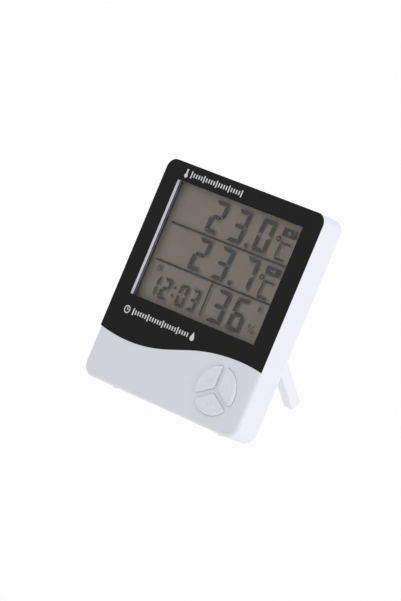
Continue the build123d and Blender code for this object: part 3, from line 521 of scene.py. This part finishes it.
# The lines between the display's fields, two across and one upright: liquid crystal in the
# same layer as the figures, a little darker and browner than they are.
dividers = bmesh.new()
divider_half = 0.425
divider_left, divider_right, divider_heights = -37.7, 35.9, (80.2, 61.8)
upright_x, upright_low, upright_high = -0.33, 45.3, 61.2
for height in divider_heights:
    low, high = height - divider_half, height + divider_half
    inked(dividers, box_outline(divider_left, divider_right, low, high))
left, right = upright_x - divider_half, upright_x + divider_half
inked(dividers, box_outline(left, right, upright_low, upright_high))
divider_brown = moulded_plastic(
    "divider_brown", colour=(0.014, 0.012, 0.008), roughness=0.5, grain_relief=0.02, mottle=0.05
)
finish_piece("lcd_dividers", dividers, divider_brown, "case")

# The signs in the two dark boxes: a house for indoors and an arrow for outdoors. The crystal
# is left clear there, so the pale ground shows. Here they are thin shapes before the boxes.
signs_front, signs_rear = 4.13, 4.16
house_x, house_half, eaves_half = 30.6, 0.9, 1.5
house_foot, house_eaves, house_ridge = 93.8, 94.8, 95.8
house = [
    (house_x - house_half, house_foot),
    (house_x + house_half, house_foot),
    (house_x + house_half, house_eaves),
    (house_x + eaves_half, house_eaves),
    (house_x, house_ridge),
    (house_x - eaves_half, house_eaves),
    (house_x - house_half, house_eaves),
]
arrow_tail, arrow_neck, arrow_tip = 28.4, 30.4, 31.8
arrow_z, shaft_half, head_half = 76.2, 0.3, 1.0
arrow = [
    (arrow_tail, arrow_z - shaft_half),
    (arrow_neck, arrow_z - shaft_half),
    (arrow_neck, arrow_z - head_half),
    (arrow_tip, arrow_z),
    (arrow_neck, arrow_z + head_half),
    (arrow_neck, arrow_z + shaft_half),
    (arrow_tail, arrow_z + shaft_half),
]
box_signs = bmesh.new()
for outline in (house, arrow):
    slab(box_signs, outline, signs_front, signs_rear)
sign_pale = moulded_plastic(
    "sign_pale", colour=(0.27, 0.24, 0.21), roughness=0.6, grain_relief=0.02, mottle=0.03
)
finish_piece("lcd_box_signs", box_signs, sign_pale, "case")

# The fainter signs: a small dial over the time, and a drop and a per cent sign beside the
# humidity. They are liquid crystal again, which lets a little more light through.
faint = bmesh.new()
faint_dial_x, faint_dial_z = -33.6, 58.4
faint_dial_radius, faint_dial_hole, faint_hand_width = 1.5, 0.95, 0.45
inked(
    faint,
    disc(faint_dial_x, faint_dial_z, faint_dial_radius),
    disc(faint_dial_x, faint_dial_z, faint_dial_hole),
)
faint_hands = (((0.0, -0.2), (0.0, 0.9)), ((0.2, 0.0), (0.8, 0.0)))
for (start_x, start_z), (end_x, end_z) in faint_hands:
    start = (faint_dial_x + start_x, faint_dial_z + start_z)
    end = (faint_dial_x + end_x, faint_dial_z + end_z)
    inked(faint, bar(start, end, faint_hand_width))
inked(faint, drop(x=31.4, z=58.0, radius=1.0))
per_cent_rings, per_cent_radius, per_cent_hole = ((29.5, 49.6), (32.4, 47.4)), 0.95, 0.5
per_cent_start, per_cent_end, per_cent_stroke = (29.6, 46.6), (32.3, 50.4), 0.4
for x, z in per_cent_rings:
    inked(faint, disc(x, z, per_cent_radius), disc(x, z, per_cent_hole))
inked(faint, bar(per_cent_start, per_cent_end, per_cent_stroke))
ink_faint = moulded_plastic(
    "crystal_faint", colour=(0.14, 0.125, 0.11), roughness=0.6, grain_relief=0.02, mottle=0.05
)
finish_piece("lcd_faint_signs", faint, ink_faint, "case")

# The three front keys: the case's plastic, a little smoother. Each carries a small raised
# sign, as moulded keys do: a ring, an arrowhead and a pair of bars.
key_white = moulded_plastic("key_white", colour=(0.83, 0.823, 0.88), roughness=0.28)
dress(key_white, "key_mode", "key_adjust", "key_memory")
key_x, key_z, key_reach = 30.0, 17.2, 6.2
key_angles = {"mode": 150, "adjust": 30, "memory": 270}
key_top, sign_rise, sign_foot = -1.2, 0.18, 0.05


def key_spot(key):
    """The middle of a key's cap."""
    turn = math.radians(key_angles[key])
    return key_x + key_reach * math.cos(turn), key_z + key_reach * math.sin(turn)


def raise_sign(key, *outlines, hole=None):
    """Raises a sign of one or more shapes on a key's cap."""
    sign_mesh = bmesh.new()
    for outline in outlines:
        slab(sign_mesh, outline, key_top - sign_rise, key_top + sign_foot, hole)
    finish_piece(key + "_sign", sign_mesh, key_white, key + "_key")


x, z = key_spot("mode")
raise_sign("mode", disc(x, z, radius=1.3), hole=disc(x, z, radius=0.75))
x, z = key_spot("adjust")
head_reach, head_foot, head_point = 1.4, 0.9, 1.4
raise_sign("adjust", [(x - head_reach, z - head_foot), (x + head_reach, z - head_foot), (x, z + head_point)])
x, z = key_spot("memory")
bar_shift, bar_half, bar_reach = 0.8, 0.35, 1.0
middles = (x - bar_shift, x + bar_shift)
bars = [box_outline(at - bar_half, at + bar_half, z - bar_reach, z + bar_reach) for at in middles]
raise_sign("memory", *bars)

# Low in the gap round each key runs a thin lip of the key's skirt, so the gap shows as a
# soft line and not as a dark slit. The lip follows the foot of the cap's rounded edge.
rounding_foot, same_depth = -0.8, 0.01
lip_width, lip_overlap = 0.2, 0.05
lip_front, lip_rear = -0.05, 0.15


def cap_outline(key):
    """The cap's outline where its rounded edge ends, in order round the cap's middle."""
    node = frame["nodes"]["key_" + key]
    middle = Vector(key_spot(key))
    spots = {}
    for vertex in node.data.vertices:
        reach = (node.matrix_world @ vertex.co - case_corner) / millimetre
        if abs(reach.dot(backward) - rounding_foot) < same_depth:
            spot = Vector((reach.dot(rightward), reach.dot(upward)))
            away = spot - middle
            spots[round(math.atan2(away.y, away.x), 3)] = spot
    return [spots[turn] for turn in sorted(spots)]


def widened(outline, width):
    """An outline with each point moved outwards."""
    points = []
    for here, point in enumerate(outline):
        along = outline[(here + 1) % len(outline)] - outline[here - 1]
        points.append(point + Vector((along.y, -along.x)).normalized() * width)
    return points


for key in key_angles:
    cap = cap_outline(key)
    lip = bmesh.new()
    slab(lip, widened(cap, lip_width), lip_front, lip_rear, widened(cap, -lip_overlap))
    finish_piece(key + "_lip", lip, key_white, key + "_key")

# The leg and the two keys on the back: the case's plastic again. The leg turns on two short
# pins in the sides of its pocket.
leg_white = moulded_plastic("leg_white", colour=(0.81, 0.805, 0.86), roughness=0.34)
dress(leg_white, "stand_leg")
dress(key_white, "unit_key", "reset_key")

# Soft parts: rubber feet, the silicone sheet under the keys, the carbon pills that close
# the contacts and the strip that joins the display to the board.
foot_rubber = moulded_plastic("foot_rubber", colour=(0.86, 0.86, 0.86), roughness=0.7, grain_relief=0.2)
dress(foot_rubber, "foot_pads")
keypad_silicone = moulded_plastic(
    "keypad_silicone", colour=(0.6, 0.6, 0.6), roughness=0.55, grain_relief=0.1, mottle=0.03
)
dress(keypad_silicone, "keypad_sheet")
carbon = moulded_plastic(
    "pill_carbon", colour=(0.02, 0.02, 0.02), roughness=0.8, grain_relief=0.3, mottle=0.1
)
dress(carbon, "pill_mode", "pill_adjust", "pill_memory", "pill_unit", "pill_reset")


def banded(name, colours, edges, direction, start, roughness, metallic=0.0):
    """A surface whose colour changes at set distances along a direction, in millimetres."""
    material = moulded_plastic(name, colours[0], roughness)
    shader = material.node_tree.nodes["Principled BSDF"]
    shader.inputs["Metallic"].default_value = metallic
    spot = new_node(material, "ShaderNodeTexCoord").outputs["Object"]
    from_start = new_node(material, "ShaderNodeVectorMath", operation="SUBTRACT")
    from_start.inputs[1].default_value = start
    along = new_node(material, "ShaderNodeVectorMath", operation="DOT_PRODUCT")
    along.inputs[1].default_value = direction / millimetre
    link(material, spot, from_start.inputs[0])
    link(material, from_start.outputs["Vector"], along.inputs[0])
    colour = shader.inputs["Base Color"].links[0].from_socket
    for band, edge in zip(colours[1:], edges):
        past = new_node(material, "ShaderNodeMath", operation="GREATER_THAN")
        past.inputs[1].default_value = edge
        link(material, along.outputs["Value"], past.inputs[0])
        mix = new_node(material, "ShaderNodeMix", data_type="RGBA")
        mix.inputs["B"].default_value = (*band, 1)
        link(material, past.outputs[0], mix.inputs["Factor"])
        link(material, colour, mix.inputs["A"])
        colour = mix.outputs["Result"]
    link(material, colour, shader.inputs["Base Color"])
    return material


strip_bands, strip_edges = ((0.55, 0.35, 0.35), (0.05, 0.05, 0.05), (0.55, 0.35, 0.35)), (0.5, 1.1)
strip_foot = place(0, 0, 39.8)
strip_rubber = banded("strip_rubber", strip_bands, strip_edges, upward, strip_foot, roughness=0.6)
dress(strip_rubber, "zebra_strip")

# The board: green lacquer over copper tracks, with its sealed chip, crystal, capacitor,
# sensors and buzzer on the back.
track_scale, track_width = 120.0, 0.05


def board_lacquer(name, lacquer, track, roughness):
    """Green lacquer with paler tracks under it."""
    material = moulded_plastic(name, lacquer, roughness)
    shader = material.node_tree.nodes["Principled BSDF"]
    tracks = new_node(material, "ShaderNodeTexBrick")
    tracks.inputs["Scale"].default_value = track_scale
    tracks.inputs["Mortar Size"].default_value = track_width
    tracks.inputs["Color1"].default_value = (*lacquer, 1)
    tracks.inputs["Color2"].default_value = (*lacquer, 1)
    tracks.inputs["Mortar"].default_value = (*track, 1)
    link(material, new_node(material, "ShaderNodeTexCoord").outputs["Object"], tracks.inputs["Vector"])
    link(material, tracks.outputs["Color"], shader.inputs["Base Color"])
    return material


green_lacquer = board_lacquer(
    "board_lacquer", lacquer=(0.02, 0.13, 0.05), track=(0.06, 0.24, 0.09), roughness=0.35
)
dress(green_lacquer, "main_board")
chip_resin = moulded_plastic(
    "chip_resin", colour=(0.012, 0.012, 0.012), roughness=0.28, grain_relief=0.15, mottle=0.1
)
dress(chip_resin, "chip_blob")
dress(moulded_plastic("bead_resin", colour=(0.03, 0.09, 0.04), roughness=0.25), "thermistor_bead")
dress(moulded_plastic("sensor_white", colour=(0.72, 0.72, 0.7), roughness=0.5), "humidity_sensor")
sleeve_bands, sleeve_edges = ((0.015, 0.02, 0.09), (0.6, 0.6, 0.6)), (1.3,)
sleeve_start = place(20.0, 0, 0)
sleeve = banded("capacitor_sleeve", sleeve_bands, sleeve_edges, rightward, sleeve_start, roughness=0.35)
dress(sleeve, "capacitor")
socket_black = moulded_plastic(
    "socket_black", colour=(0.018, 0.018, 0.018), roughness=0.4, grain_relief=0.1, mottle=0.1
)
dress(socket_black, "probe_jack")


# Metal: the crystal's can, the buzzer's brass, the battery contacts and the screws. Drawn
# and plated metal shows fine streaks, and a dull film here and there.
def plated_metal(name, colour, roughness):
    """Metal with fine streaks and patches of duller plating."""
    material = moulded_plastic(name, colour, roughness, grain_relief=0.12, mottle=0.06)
    material.node_tree.nodes["Principled BSDF"].inputs["Metallic"].default_value = 1.0
    return material


dress(plated_metal("can_steel", colour=(0.66, 0.66, 0.68), roughness=0.3), "crystal_can")
dress(plated_metal("buzzer_brass", colour=(0.72, 0.52, 0.22), roughness=0.35), "buzzer")
contact_nickel = plated_metal("contact_nickel", colour=(0.7, 0.69, 0.66), roughness=0.28)
dress(contact_nickel, "battery_spring", "battery_plate")
screw_zinc = plated_metal("screw_zinc", colour=(0.5, 0.5, 0.52), roughness=0.38)
dress(screw_zinc, "case_screws", "board_screws")

# The battery cell: a steel can with bare ends and a sleeve in two colours round it. It lies
# across its bay between the spring and the plate contact.
cell_bands = ((0.6, 0.6, 0.6), (0.02, 0.09, 0.08), (0.55, 0.26, 0.06), (0.6, 0.6, 0.6))
cell_edges = (0.6, 31.0, 42.8)
cell_end = place(-36.55, 0, 0)
cell_sleeve = banded("cell_sleeve", cell_bands, cell_edges, rightward, cell_end, roughness=0.3, metallic=0.4)
dress(cell_sleeve, "battery_cell")
